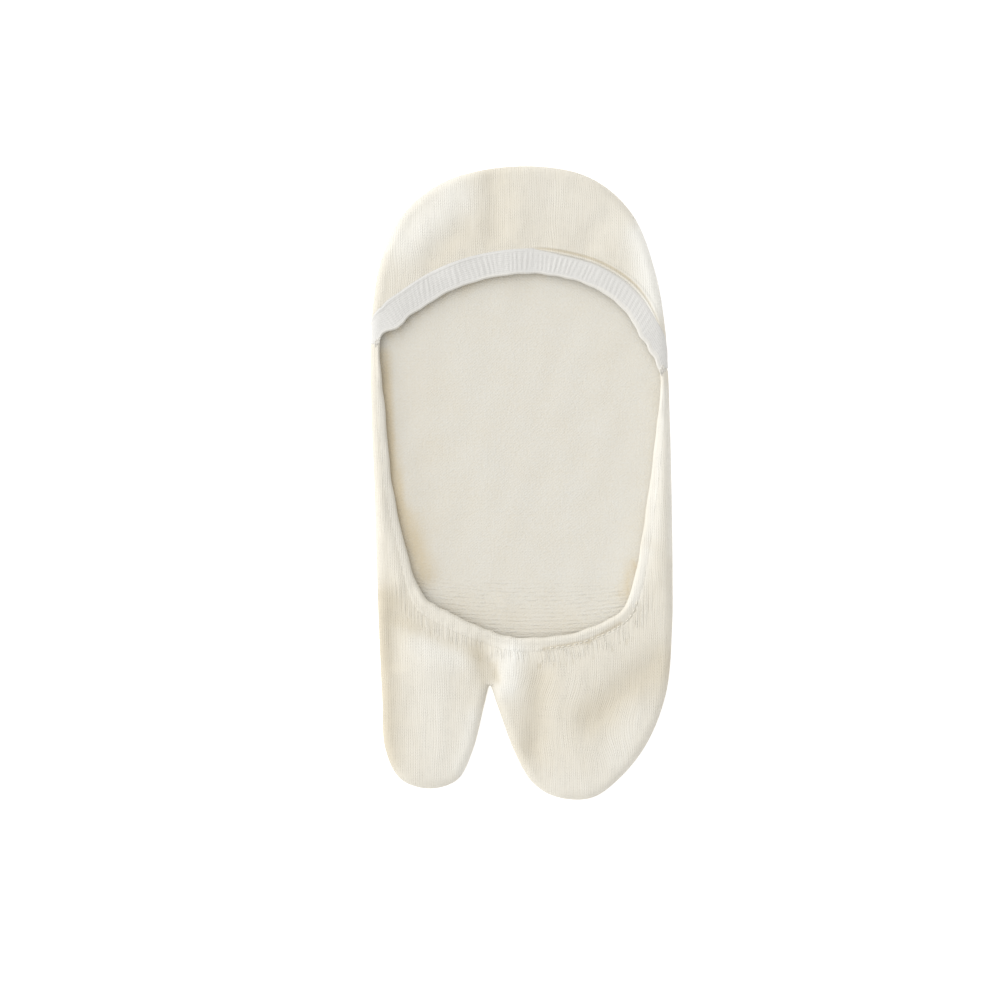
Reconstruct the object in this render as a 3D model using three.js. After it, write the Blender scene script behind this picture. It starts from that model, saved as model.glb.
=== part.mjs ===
// A low-cut tabi sock for the left foot, lying flat on its sole with its opening up.
// Millimetres, +Z up. +Y runs to the heel and +X to the little toe, and the origin is on
// the ground under the middle of the sock.
//
// The body is knitted in one piece: the sole, the sides that fold over it, the heel cup,
// and the instep with a pocket for the big toe and a wider one for the other four toes.
// A turned hem finishes the sides and the toe side of the opening, and a ribbed elastic
// band finishes its heel side. All three follow one surface. It is made of sections that
// run from the edge of the opening out over the top cloth, round the side fold and back
// under the sole.

import * as THREE from "three";

// ---------------------------------------------------------------- driving dimensions
const KNIT_WALL = 1.0;        // thickness of the knitted body
const HEM_WALL = 2.0;         // the hem is the same cloth turned under, so twice as thick
const BAND_WALL = 1.5;        // thickness of the ribbed elastic
const HEM_PROUD = 0.3;        // how far the hem stands above the top cloth beside it
const SEAM_GAP = 0.5;         // clearance at a seam, along the top of the cloth
const TOP_HEIGHT = 4.6;       // the top cloth above the ground, away from its folds
const FOLD_HEIGHT = 2.3;      // the outermost line of the side fold above the ground
const FOLD_REACH = 2.2;       // how far inside the outline the sole becomes flat
const SHOULDER = 3.0;         // how far inside the outline the top cloth becomes level
const SOLE_CENTRE = [1, 10];  // where the sections meet, on the sole inside the opening

// ------------------------------------------------------------------------ the sections
// Anticlockwise from the middle of the heel. Each section starts on the edge of the
// opening and ends on the outline of the sock; trim is the width of the hem or the band.
const SECTIONS = table(
  ["place", "outlineX", "outlineY", "edgeX", "edgeY", "trim"],
  [
    ["heel back", 0, 100, 0.5, 65.8, 8.0],
    ["heel, inner side 1", -24, 95.3, -14, 63.5, 8.1],
    ["heel, inner side 2", -38, 84.3, -25, 59, 8.3],
    ["heel, inner side 3", -44.5, 70, -34, 53, 8.5],
    ["band, inner side", -46.9, 56.5, -40, 48.8, 7.0],
    ["band end, inner side", -47.6, 43.6, -44.6, 45.1, 2.4],
    ["instep, inner side", -47.5, 24, -43.0, 24, 2.6],
    ["waist, inner side", -46.5, -2, -40.4, -2, 2.8],
    ["ball, inner side", -45.7, -28, -34.2, -27.5, 3.4],
    ["hem corner, inner side", -45, -47, -30.6, -35.7, 4.4],
    ["big toe side", -44, -68, -26.5, -38.8, 4.8],
    ["big toe shoulder", -43.0, -84, -23, -40.6, 4.8],
    ["big toe outer tip", -38.2, -93.5, -20, -42.1, 4.8],
    ["big toe tip", -29, -96.5, -17, -43.6, 4.7],
    ["big toe inner tip", -20.2, -93.7, -14.3, -44.8, 4.6],
    ["big toe neck", -15.4, -84.5, -11.8, -45.9, 4.5],
    ["cleft, big toe side", -11.6, -69.5, -9.4, -46.8, 4.4],
    ["cleft", -10, -63.8, -7, -47.6, 4.4],
    ["cleft, second toe side", -7.9, -69.5, -4.6, -48.2, 4.4],
    ["second toe neck", -2.4, -84.5, -2, -48.7, 4.4],
    ["second toe", 3.2, -94.3, 1.5, -48.8, 4.4],
    ["toes tip, inner", 10.5, -99, 5, -48.7, 4.4],
    ["toes tip, outer", 22, -99.5, 9.5, -48.4, 4.4],
    ["toes corner", 31.0, -93.2, 14.5, -47.7, 4.4],
    ["toes slope", 39.7, -82, 20.5, -46, 4.4],
    ["little toe", 45.6, -66.5, 27.5, -43, 4.4],
    ["hem corner, outer side", 47.5, -47, 32.8, -38.4, 3.8],
    ["ball, outer side", 47.7, -28, 36.2, -26.5, 3.2],
    ["waist, outer side", 47.4, -4, 40.0, -3, 2.8],
    ["instep, outer side", 46.9, 18, 42.4, 17.5, 2.6],
    ["band end, outer side", 46.2, 36, 43.7, 34.5, 2.2],
    ["band, outer side", 45.2, 50, 38.2, 45.0, 6.0],
    ["heel, outer side 3", 42.4, 66, 32, 54.6, 8.0],
    ["heel, outer side 2", 35, 84.8, 22, 61.8, 8.2],
    ["heel, outer side 1", 21.5, 96.4, 11.5, 65, 8.1],
  ],
);
const STEPS_PER_SECTION = 3;
const TOP_STEPS = 8;          // rings of faces across the top cloth
const FOLD_STEPS = 3;         // rings of faces in each half of the side fold

// ------------------------------------------------------- folds of the cloth on the top
// Each is a soft ridge, or a trough where its rise is negative, along a straight line.
const FOLDS = table(
  ["name", "fromX", "fromY", "toX", "toY", "width", "rise"],
  [
    ["big toe crown", -30, -62, -29, -85, 10, 0.7],
    ["four toes crown", 18, -64, 20, -84, 15, 0.9],
    ["furrow from hem to cleft", -12, -52, -10.5, -60, 3.6, -0.9],
    ["swell beside the cleft", -3, -54, -4, -65, 3.8, 0.7],
    ["furrow between the toes", 6, -60, 4, -84, 3.6, -0.8],
    ["slanting furrow, little toe", 43, -55, 21, -75, 4.2, -0.7],
    ["swell below the slanting furrow", 36, -70, 33, -82, 5, 0.4],
    ["furrow at the big toe side", -41, -43, -41, -56, 3.6, -0.8],
    ["swell at the big toe joint", -31, -47, -29, -57, 6, 0.5],
    ["heel furrow, middle", -8, 79, -9, 96, 3.4, -0.6],
    ["heel swell, middle", -1, 79, 2, 94, 5, 0.4],
    ["heel furrow, inner side", -29, 69, -19, 81, 3.6, -0.5],
    ["heel swell, inner side", -34, 75, -24, 88, 4.5, 0.5],
    ["heel furrow, outer side", 20, 74, 28, 86, 4, -0.4],
    ["sag at the band end, inner side", -46, 42, -46, 50, 5, -0.5],
    ["sag at the band end, outer side", 45, 32, 44, 42, 5, -0.5],
    ["sag of the edge, inner side", -43.2, 30, -40.6, 0, 2.6, -0.8],
    ["sag of the edge, inner ball", -40.1, -4.3, -32, -31, 2.8, -1.0],
    ["sag of the edge, outer side", 42.6, 20, 40.4, -1, 2.6, -0.8],
    ["sag of the edge, outer ball", 39.8, -5.2, 33.8, -34, 2.8, -0.8],
    ["sag of the heel edge, inner side", -31, 53.5, -10, 64, 7, -0.7],
    ["sag of the heel edge, outer side", 6, 65, 31, 54, 7, -0.7],
    ["crest of the inner ball", -44, -6, -38, -31, 3.2, 0.6],
    ["crest of the outer side", 45, 22, 43, -30, 2.6, 0.5],
  ],
);

// ---------------------------------------------------------------------------- functions

// Rows of values turned into records with the columns' names.
function table(columns, rows) {
  return rows.map((row) => Object.fromEntries(columns.map((name, i) => [name, row[i]])));
}

function mix(a, b, share) {
  return a + (b - a) * share;
}

// A smooth closed curve through every section, for all its columns at once. The knots
// are the square roots of the distances along the outline, which keeps it free of loops.
function sectionsAllRound() {
  const columns = ["outlineX", "outlineY", "edgeX", "edgeY", "trim"];
  const count = SECTIONS.length;
  const at = (i) => SECTIONS[(i + count) % count];
  const span = (i) => {
    const [a, b] = [at(i), at(i + 1)];
    return Math.sqrt(Math.hypot(b.outlineX - a.outlineX, b.outlineY - a.outlineY));
  };
  const slope = (i, name) => {
    const before = (at(i)[name] - at(i - 1)[name]) / span(i - 1);
    const after = (at(i + 1)[name] - at(i)[name]) / span(i);
    return mix(before, after, span(i - 1) / (span(i - 1) + span(i)));
  };
  const all = [];
  for (let i = 0; i < count; i++) {
    for (let step = 0; step < STEPS_PER_SECTION; step++) {
      const t = step / STEPS_PER_SECTION;
      const section = {};
      for (const name of columns) {
        section[name] =
          (2 * t ** 3 - 3 * t ** 2 + 1) * at(i)[name] +
          (t ** 3 - 2 * t ** 2 + t) * span(i) * slope(i, name) +
          (3 * t ** 2 - 2 * t ** 3) * at(i + 1)[name] +
          (t ** 3 - t ** 2) * span(i) * slope(i + 1, name);
      }
      all.push(section);
    }
  }
  return all;
}

// The height that the folds add at a point of the top cloth.
function foldRise(x, y) {
  let rise = 0;
  for (const fold of FOLDS) {
    const [alongX, alongY] = [fold.toX - fold.fromX, fold.toY - fold.fromY];
    const share = THREE.MathUtils.clamp(
      ((x - fold.fromX) * alongX + (y - fold.fromY) * alongY) / (alongX ** 2 + alongY ** 2),
      0,
      1,
    );
    const away = Math.hypot(x - fold.fromX - share * alongX, y - fold.fromY - share * alongY);
    rise += fold.rise * Math.exp(-((away / fold.width) ** 2));
  }
  return rise;
}

// The top cloth rises from the side fold as a quarter of an ellipse, then lies level.
function topHeight(x, y, inside) {
  const turn = Math.sqrt(1 - (1 - Math.min(inside / SHOULDER, 1)) ** 2);
  return FOLD_HEIGHT + (TOP_HEIGHT + foldRise(x, y) - FOLD_HEIGHT) * turn;
}

function distanceToOutline(x, y, outline) {
  let nearest = Infinity;
  outline.forEach(([ax, ay], i) => {
    const [bx, by] = outline[(i + 1) % outline.length];
    const length2 = (bx - ax) ** 2 + (by - ay) ** 2;
    const along = ((x - ax) * (bx - ax) + (y - ay) * (by - ay)) / length2;
    const share = THREE.MathUtils.clamp(along, 0, 1);
    nearest = Math.min(nearest, Math.hypot(x - mix(ax, bx, share), y - mix(ay, by, share)));
  });
  return nearest;
}

// One section of the outside surface as a fine line of points, with the length along it
// of three places: where the side fold begins, its outermost line, and the flat sole.
function sectionLine(section, index, sections) {
  const count = sections.length;
  const [before, after] = [sections[(index + count - 1) % count], sections[(index + 1) % count]];
  const run = [after.outlineX - before.outlineX, after.outlineY - before.outlineY];
  const runLength = Math.hypot(...run);
  const inward = [-run[1] / runLength, run[0] / runLength];
  const { outlineX, outlineY, edgeX, edgeY } = section;
  const reach = Math.min(FOLD_REACH, Math.hypot(edgeX - outlineX, edgeY - outlineY) / 2);
  const insideBy = (depth) => [outlineX + inward[0] * depth, outlineY + inward[1] * depth];
  const outline = sections.map((each) => [each.outlineX, each.outlineY]);
  const points = [];

  const [foldX, foldY] = insideBy(reach);
  const topPoints = 40;
  for (let i = 0; i < topPoints; i++) {
    const x = mix(edgeX, foldX, i / topPoints);
    const y = mix(edgeY, foldY, i / topPoints);
    points.push(new THREE.Vector3(x, y, topHeight(x, y, distanceToOutline(x, y, outline))));
  }
  const foldStart = points.length;
  const foldPoints = 12;
  const startAngle = Math.acos(1 - reach / SHOULDER);
  for (let i = 0; i < foldPoints; i++) {
    const depth = SHOULDER * (1 - Math.cos(startAngle * (1 - i / foldPoints)));
    const [x, y] = insideBy(depth);
    points.push(new THREE.Vector3(x, y, topHeight(x, y, depth)));
  }
  const outermost = points.length;
  for (let i = 0; i <= foldPoints; i++) {
    const angle = (Math.PI / 2) * (i / foldPoints);
    const [x, y] = insideBy(reach * (1 - Math.cos(angle)));
    points.push(new THREE.Vector3(x, y, FOLD_HEIGHT * (1 - Math.sin(angle))));
  }
  const lengths = [0];
  for (let i = 1; i < points.length; i++) {
    lengths.push(lengths[i - 1] + points[i].distanceTo(points[i - 1]));
  }
  return {
    points,
    lengths,
    trim: section.trim,
    foldStart: lengths[foldStart],
    outermost: lengths[outermost],
    flatSole: lengths[lengths.length - 1],
  };
}

// The point of a section line at a given length from the edge of the opening.
function pointAlong(line, length) {
  let i = 1;
  while (i < line.lengths.length - 1 && line.lengths[i] < length) i++;
  const share = (length - line.lengths[i - 1]) / (line.lengths[i] - line.lengths[i - 1]);
  return line.points[i - 1].clone().lerp(line.points[i], share);
}

// Unit normals of the cloth at a ring of points, one on each line, from the points a little
// before and after it on its own line and those on the neighbouring lines.
function ringNormals(lines, lengthOf, closed) {
  const step = 0.25;
  const ring = lines.map((line) => pointAlong(line, lengthOf(line)));
  return lines.map((line, i) => {
    const last = lines.length - 1;
    const next = closed ? (i + 1) % lines.length : Math.min(i + 1, last);
    const previous = closed ? (i + last) % lines.length : Math.max(i - 1, 0);
    const around = ring[next].clone().sub(ring[previous]);
    const ahead = pointAlong(line, lengthOf(line) + step);
    const across = ahead.sub(pointAlong(line, lengthOf(line) - step));
    return across.cross(around).normalize();
  });
}

// The grid moved into the cloth by a depth that may differ from ring to ring.
function sunk(rings, normals, depthOf) {
  return rings.map((ring, k) =>
    ring.map((point, i) => point.clone().addScaledVector(normals[k][i], -depthOf(k))),
  );
}

// A mesh of triangles from a list of rings that all have the same number of points.
class Skin {
  constructor() {
    this.positions = [];
    this.index = [];
  }

  addRing(ring) {
    const first = this.positions.length / 3;
    ring.forEach((point) => this.positions.push(point.x, point.y, point.z));
    return ring.map((_, i) => first + i);
  }

  join(ringA, ringB, closed) {
    const faces = closed ? ringA.length : ringA.length - 1;
    for (let i = 0; i < faces; i++) {
      const next = (i + 1) % ringA.length;
      this.quad(ringA[i], ringB[i], ringB[next], ringA[next]);
    }
  }

  quad(a, b, c, d) {
    this.index.push(a, b, c, a, c, d);
  }

  fan(centre, ring) {
    ring.forEach((corner, i) => this.index.push(centre, ring[(i + 1) % ring.length], corner));
  }

  geometry() {
    const geometry = new THREE.BufferGeometry();
    geometry.setAttribute("position", new THREE.Float32BufferAttribute(this.positions, 3));
    geometry.setIndex(this.index);
    geometry.computeVertexNormals();
    return geometry;
  }
}

// ---------------------------------------------------------------------------- the pieces

// The knitted body: an outer and an inner skin from the seams of the trims, over the top,
// round the side fold and across the sole, joined along the seams.
function bodyGeometry(lines) {
  const seam = (line) => line.trim + SEAM_GAP;
  const shareOfFold = 0.4;
  const turn = (line) =>
    Math.max(line.foldStart, mix(seam(line), line.outermost, shareOfFold));
  const places = [];
  for (let k = 0; k < TOP_STEPS; k++) {
    places.push((line) => mix(seam(line), turn(line), k / TOP_STEPS));
  }
  for (let k = 0; k < FOLD_STEPS; k++) {
    places.push((line) => mix(turn(line), line.outermost, k / FOLD_STEPS));
  }
  for (let k = 0; k <= FOLD_STEPS; k++) {
    places.push((line) => mix(line.outermost, line.flatSole, k / FOLD_STEPS));
  }
  const outside = places.map((lengthOf) =>
    lines.map((line) => pointAlong(line, lengthOf(line))),
  );
  const normals = places.map((lengthOf) => ringNormals(lines, lengthOf, true));
  const inside = sunk(outside, normals, () => KNIT_WALL);
  inside[inside.length - 1].forEach((point) => { point.z = KNIT_WALL; });

  const skin = new Skin();
  const outer = outside.map((ring) => skin.addRing(ring));
  const inner = inside.map((ring) => skin.addRing(ring));
  for (let k = 0; k + 1 < outer.length; k++) {
    skin.join(outer[k], outer[k + 1], true);
    skin.join(inner[k + 1], inner[k], true);
  }
  skin.join(inner[0], outer[0], true);
  const under = skin.addRing([new THREE.Vector3(...SOLE_CENTRE, 0)]);
  const insole = skin.addRing([new THREE.Vector3(...SOLE_CENTRE, KNIT_WALL)]);
  skin.fan(under[0], outer[outer.length - 1]);
  skin.fan(insole[0], [...inner[inner.length - 1]].reverse());
  return skin.geometry();
}

// A strip along the edge of the opening, as wide as the trim of each section, with a
// round nose on its free edge. It stands proud of the top cloth and hangs below it.
function trimGeometry(lines, wall, proud) {
  const noseSteps = 2;
  const flatSteps = 2;
  const nose = wall / 2;
  const steps = [];
  for (let k = 0; k <= noseSteps; k++) {
    const angle = (Math.PI / 2) * (k / noseSteps);
    steps.push({ fromEdge: nose * (1 - Math.cos(angle)), half: nose * Math.sin(angle), share: 0 });
  }
  for (let k = 1; k <= flatSteps; k++) {
    steps.push({ fromEdge: nose, half: nose, share: k / flatSteps });
  }
  const places = steps.map(({ fromEdge, share }) => (line) => mix(fromEdge, line.trim, share));
  const surface = places.map((lengthOf) =>
    lines.map((line) => pointAlong(line, lengthOf(line))),
  );
  const normals = places.map((lengthOf) => ringNormals(lines, lengthOf, false));
  const middle = nose - proud;
  const upper = sunk(surface, normals, (k) => middle - steps[k].half);
  const lower = sunk(surface, normals, (k) => middle + steps[k].half);

  const skin = new Skin();
  const top = upper.map((ring) => skin.addRing(ring));
  const bottom = [top[0], ...lower.slice(1).map((ring) => skin.addRing(ring))];
  for (let k = 0; k + 1 < steps.length; k++) {
    skin.join(top[k], top[k + 1], false);
    skin.join(bottom[k + 1], bottom[k], false);
  }
  skin.join(top[steps.length - 1], bottom[steps.length - 1], false);
  for (const [end, turned] of [[0, false], [lines.length - 1, true]]) {
    for (let k = 0; k + 1 < steps.length; k++) {
      const corners = [top[k][end], bottom[k][end], bottom[k + 1][end], top[k + 1][end]];
      if (turned) corners.reverse();
      if (k === 0) skin.index.push(...corners.filter((c, i) => corners.indexOf(c) === i));
      else skin.quad(...corners);
    }
  }
  return skin.geometry();
}

// The section lines from one place to another, anticlockwise, each end drawn back along
// the strip by half of the seam gap.
function linesBetween(lines, fromPlace, toPlace) {
  const placeIndex = (place) =>
    SECTIONS.findIndex((section) => section.place === place) * STEPS_PER_SECTION;
  const first = placeIndex(fromPlace);
  const count = (placeIndex(toPlace) - first + lines.length) % lines.length;
  const chosen = [];
  for (let i = 0; i <= count; i++) chosen.push(lines[(first + i) % lines.length]);
  chosen[0] = drawnBack(chosen[0], chosen[1]);
  chosen[count] = drawnBack(chosen[count], chosen[count - 1]);
  return chosen;
}

function drawnBack(line, neighbour) {
  const share = SEAM_GAP / 2 / line.points[0].distanceTo(neighbour.points[0]);
  const points = line.points.map((point, i) => point.clone().lerp(neighbour.points[i], share));
  const lengths = [0];
  for (let i = 1; i < points.length; i++) {
    lengths.push(lengths[i - 1] + points[i].distanceTo(points[i - 1]));
  }
  return { ...line, points, lengths, trim: mix(line.trim, neighbour.trim, share) };
}

function piece(name, geometry, colour, roughness) {
  const material = new THREE.MeshStandardMaterial({ color: colour, roughness, metalness: 0 });
  const mesh = new THREE.Mesh(geometry, material);
  mesh.name = name;
  return mesh;
}

const sections = sectionsAllRound();
const lines = sections.map(sectionLine);
const heelLines = linesBetween(lines, "band end, outer side", "band end, inner side");
const hemLines = linesBetween(lines, "band end, inner side", "band end, outer side");

const sock = new THREE.Group();
sock.name = "tabi_sock";
sock.add(
  piece("sock_body", bodyGeometry(lines), 0xe3dfd3, 0.92),
  piece("opening_hem", trimGeometry(hemLines, HEM_WALL, HEM_PROUD), 0xe7e2d3, 0.9),
  piece("heel_band", trimGeometry(heelLines, BAND_WALL, 0), 0xe0dedb, 0.75),
);

export default sock;
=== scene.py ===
# A low-cut tabi sock for the left foot, lying flat on its sole with its opening up.
#
# The sock is one piece of fine ivory knit with a pocket for the big toe and a wider one for
# the other four toes. A turned hem finishes the sides and the toe side of the opening, a
# white ribbed elastic band finishes the heel side, and a bar tack holds each end of the band.
# +Y runs to the heel and +X to the little toe. Tables and sizes are in millimetres of the
# sock, and MM turns them into the frame's metres.

import math

import bmesh
import bpy
import numpy as np
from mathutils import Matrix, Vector


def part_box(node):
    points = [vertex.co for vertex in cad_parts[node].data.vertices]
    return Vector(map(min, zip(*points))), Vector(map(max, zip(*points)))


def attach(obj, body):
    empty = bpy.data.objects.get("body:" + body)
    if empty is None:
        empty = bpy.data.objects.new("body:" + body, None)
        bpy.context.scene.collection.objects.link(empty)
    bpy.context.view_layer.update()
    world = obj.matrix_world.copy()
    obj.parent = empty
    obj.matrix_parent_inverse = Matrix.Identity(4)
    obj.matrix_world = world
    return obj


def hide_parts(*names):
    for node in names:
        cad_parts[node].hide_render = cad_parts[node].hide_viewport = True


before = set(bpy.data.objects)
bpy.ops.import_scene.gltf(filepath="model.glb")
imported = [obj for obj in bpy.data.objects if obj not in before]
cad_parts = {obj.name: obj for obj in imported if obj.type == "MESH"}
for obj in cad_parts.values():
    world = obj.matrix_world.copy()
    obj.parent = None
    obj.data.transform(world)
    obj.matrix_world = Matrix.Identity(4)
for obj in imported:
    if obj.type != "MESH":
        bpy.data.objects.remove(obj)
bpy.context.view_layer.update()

# ---------------------------------------------------------------------------------------
# Studio: a bright pale floor that runs out of sight, an even white surround, and one broad
# soft light that comes from the big-toe side and a little from the heel. The camera looks
# straight down.

SOCK_LENGTH = 200.0
sock_low, sock_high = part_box("sock_body")
MM = (sock_high.y - sock_low.y) / SOCK_LENGTH

VIEW_CENTRE = (-6.8, -5.4)
VIEW_WIDTH = 316.5
LENS = 100.0
SENSOR = 36.0

SURROUND_STRENGTH = 0.60
TO_LIGHT = (-0.93, 0.36, 0.85)
LIGHT_STRENGTH = 2.1
LIGHT_SPREAD = 95
FLOOR_HALF = 4.0
FLOOR_DROP = 0.02
FLOOR_GLOW = 0.48
WHITE = (1.0, 1.0, 1.0, 1.0)

scene = bpy.context.scene
scene.view_settings.view_transform = "Standard"

camera = bpy.data.objects.new("camera", bpy.data.cameras.new("camera"))
camera.data.lens = LENS
camera.data.sensor_width = SENSOR
camera.location = (VIEW_CENTRE[0] * MM, VIEW_CENTRE[1] * MM, VIEW_WIDTH * LENS / SENSOR * MM)
scene.collection.objects.link(camera)
scene.camera = camera

surround = bpy.data.worlds.new("surround")
surround.use_nodes = True
surround.node_tree.nodes["Background"].inputs["Color"].default_value = WHITE
surround.node_tree.nodes["Background"].inputs["Strength"].default_value = SURROUND_STRENGTH
scene.world = surround

key = bpy.data.objects.new("key_light", bpy.data.lights.new("key_light", "SUN"))
key.data.energy = LIGHT_STRENGTH
key.data.angle = math.radians(LIGHT_SPREAD)
key.rotation_mode = "QUATERNION"
key.rotation_quaternion = Vector(TO_LIGHT).to_track_quat("Z", "Y")
scene.collection.objects.link(key)

floor_mesh = bpy.data.meshes.new("floor")
floor_corners = FLOOR_HALF * np.array([(-1, -1, 0), (1, -1, 0), (1, 1, 0), (-1, 1, 0)], float)
floor_corners[:, 2] = -FLOOR_DROP * MM
floor_mesh.from_pydata(floor_corners.tolist(), [], [(0, 1, 2, 3)])
floor = bpy.data.objects.new("floor", floor_mesh)
floor_paint = bpy.data.materials.new("floor_paint")
floor_paint.use_nodes = True
floor_shader = floor_paint.node_tree.nodes["Principled BSDF"]
floor_shader.inputs["Base Color"].default_value = (0.93, 0.93, 0.93, 1.0)
floor_shader.inputs["Roughness"].default_value = 0.9
floor_shader.inputs["Specular IOR Level"].default_value = 0.0
floor_shader.inputs["Emission Color"].default_value = WHITE
floor_shader.inputs["Emission Strength"].default_value = FLOOR_GLOW
floor_mesh.materials.append(floor_paint)
scene.collection.objects.link(floor)

# ---------------------------------------------------------------------------------------
# Knitted body: one piece of fine ivory cotton knit, its smooth face outside and its purl
# side inside. The sole lies flat, the sides fold over it, and the heel cup and the instep
# lie on top. Every other piece follows this surface.

# Sections of the sock, anticlockwise from the middle of the heel. Each runs from the edge of
# the opening to the outline; trim is the width of the hem or the band there, and reach is how
# far inside the outline the sole becomes flat.
# place, outline x, outline y, edge x, edge y, trim, reach
SECTIONS = (
    ("heel back", 0, 100, 0.5, 65.8, 8.0, 2.2),
    ("heel, inner side 1", -24, 95.3, -14, 63.5, 8.1, 2.2),
    ("heel, inner side 2", -38, 84.3, -25, 59, 8.3, 2.2),
    ("heel, inner side 3", -44.5, 70, -34, 53, 8.5, 2.2),
    ("band, inner side", -46.9, 56.5, -40, 48.8, 7.8, 2.2),
    ("band end, inner side", -47.6, 43.6, -44.6, 45.1, 2.4, 1.7),
    ("instep, inner side", -47.5, 24, -43.0, 24, 2.6, 2.0),
    ("waist, inner side", -46.5, -2, -40.4, -2, 2.8, 2.2),
    ("ball, inner side", -45.7, -28, -34.2, -27.5, 3.4, 2.2),
    ("hem corner, inner side", -45, -47, -30.6, -35.7, 4.4, 2.2),
    ("big toe side", -44, -68, -26.5, -38.8, 4.8, 2.2),
    ("big toe shoulder", -43.0, -84, -23, -40.6, 4.8, 2.2),
    ("big toe outer tip", -38.2, -93.5, -20, -42.1, 4.8, 2.2),
    ("big toe tip", -29, -96.5, -17, -43.6, 4.7, 2.2),
    ("big toe inner tip", -20.2, -93.7, -14.3, -44.8, 4.6, 2.2),
    ("big toe neck", -15.4, -84.5, -11.8, -45.9, 4.5, 1.9),
    ("cleft, big toe side", -11.6, -69.5, -9.4, -46.8, 4.4, 1.3),
    ("cleft", -10, -63.8, -7, -47.6, 4.4, 1.1),
    ("cleft, second toe side", -7.9, -69.5, -4.6, -48.2, 4.4, 1.3),
    ("second toe neck", -2.4, -84.5, -2, -48.7, 4.4, 1.9),
    ("second toe", 3.2, -94.3, 1.5, -48.8, 4.4, 2.2),
    ("toes tip, inner", 10.5, -99, 5, -48.7, 4.4, 2.2),
    ("toes tip, outer", 22, -99.5, 9.5, -48.4, 4.4, 2.2),
    ("toes corner", 31.0, -93.2, 14.5, -47.7, 4.4, 2.2),
    ("toes slope", 39.7, -82, 20.5, -46, 4.4, 2.2),
    ("little toe", 45.6, -66.5, 27.5, -43, 4.4, 2.2),
    ("hem corner, outer side", 47.5, -47, 32.8, -38.4, 3.8, 2.2),
    ("ball, outer side", 47.7, -28, 36.2, -26.5, 3.2, 2.2),
    ("waist, outer side", 47.4, -4, 40.0, -3, 2.8, 2.2),
    ("instep, outer side", 46.9, 18, 42.4, 17.5, 2.6, 2.0),
    ("band end, outer side", 46.2, 36, 43.7, 34.5, 2.2, 1.4),
    ("band, outer side", 45.2, 50, 38.2, 45.0, 7.0, 2.1),
    ("heel, outer side 3", 42.4, 66, 32, 54.6, 8.2, 2.2),
    ("heel, outer side 2", 35, 84.8, 22, 61.8, 8.2, 2.2),
    ("heel, outer side 1", 21.5, 96.4, 11.5, 65, 8.1, 2.2),
)

# Folds of the top cloth: soft ridges, or troughs where the rise is negative, each along a
# straight line and a Gaussian across it.
# name, from x, from y, to x, to y, width, rise
TOP_FOLDS = (
    ("big toe crown", -30, -62, -29, -85, 10, 0.7),
    ("four toes crown", 18, -64, 20, -84, 15, 0.9),
    ("furrow from hem to cleft", -12, -52, -10.5, -60, 3.6, -0.9),
    ("swell beside the cleft", -3, -54, -4, -65, 3.8, 0.7),
    ("crease beside the cleft", -9.2, -56, -7.8, -61.5, 1.5, -0.5),
    ("furrow between the toes", 6, -60, 4, -84, 3.6, -0.8),
    ("slanting furrow, little toe", 43, -55, 21, -75, 4.2, -0.7),
    ("swell below the slanting furrow", 36, -70, 33, -82, 5, 0.4),
    ("furrow at the big toe side", -41, -43, -41, -56, 3.6, -0.8),
    ("swell at the big toe joint", -31, -47, -29, -57, 6, 0.5),
    ("heel furrow, middle", -8, 79, -9, 96, 3.4, -0.6),
    ("heel swell, middle", -1, 79, 2, 94, 5, 0.4),
    ("heel furrow, inner side", -29, 69, -19, 81, 3.6, -0.5),
    ("heel swell, inner side", -34, 75, -24, 88, 4.5, 0.5),
    ("heel furrow, outer side", 20, 74, 28, 86, 4, -0.4),
    ("sag at the band end, inner side", -46, 42, -46, 50, 5, -0.5),
    ("sag at the band end, outer side", 45, 32, 44, 42, 5, -0.5),
    ("sag of the edge, inner side", -43.2, 30, -40.6, 0, 2.6, -0.8),
    ("sag of the edge, inner ball", -40.1, -4.3, -32, -31, 2.8, -1.0),
    ("sag of the edge, outer side", 42.6, 20, 40.4, -1, 2.6, -0.8),
    ("sag of the edge, outer ball", 39.8, -5.2, 33.8, -34, 2.8, -0.8),
    ("sag of the heel edge, inner side", -31, 53.5, -10, 64, 7, -0.7),
    ("sag of the heel edge, outer side", 6, 65, 31, 54, 7, -0.7),
    ("crest of the inner ball", -44, -6, -38, -31, 3.2, 0.6),
    ("crest of the outer side", 45, 22, 43, -30, 2.6, 0.5),
)

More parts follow.
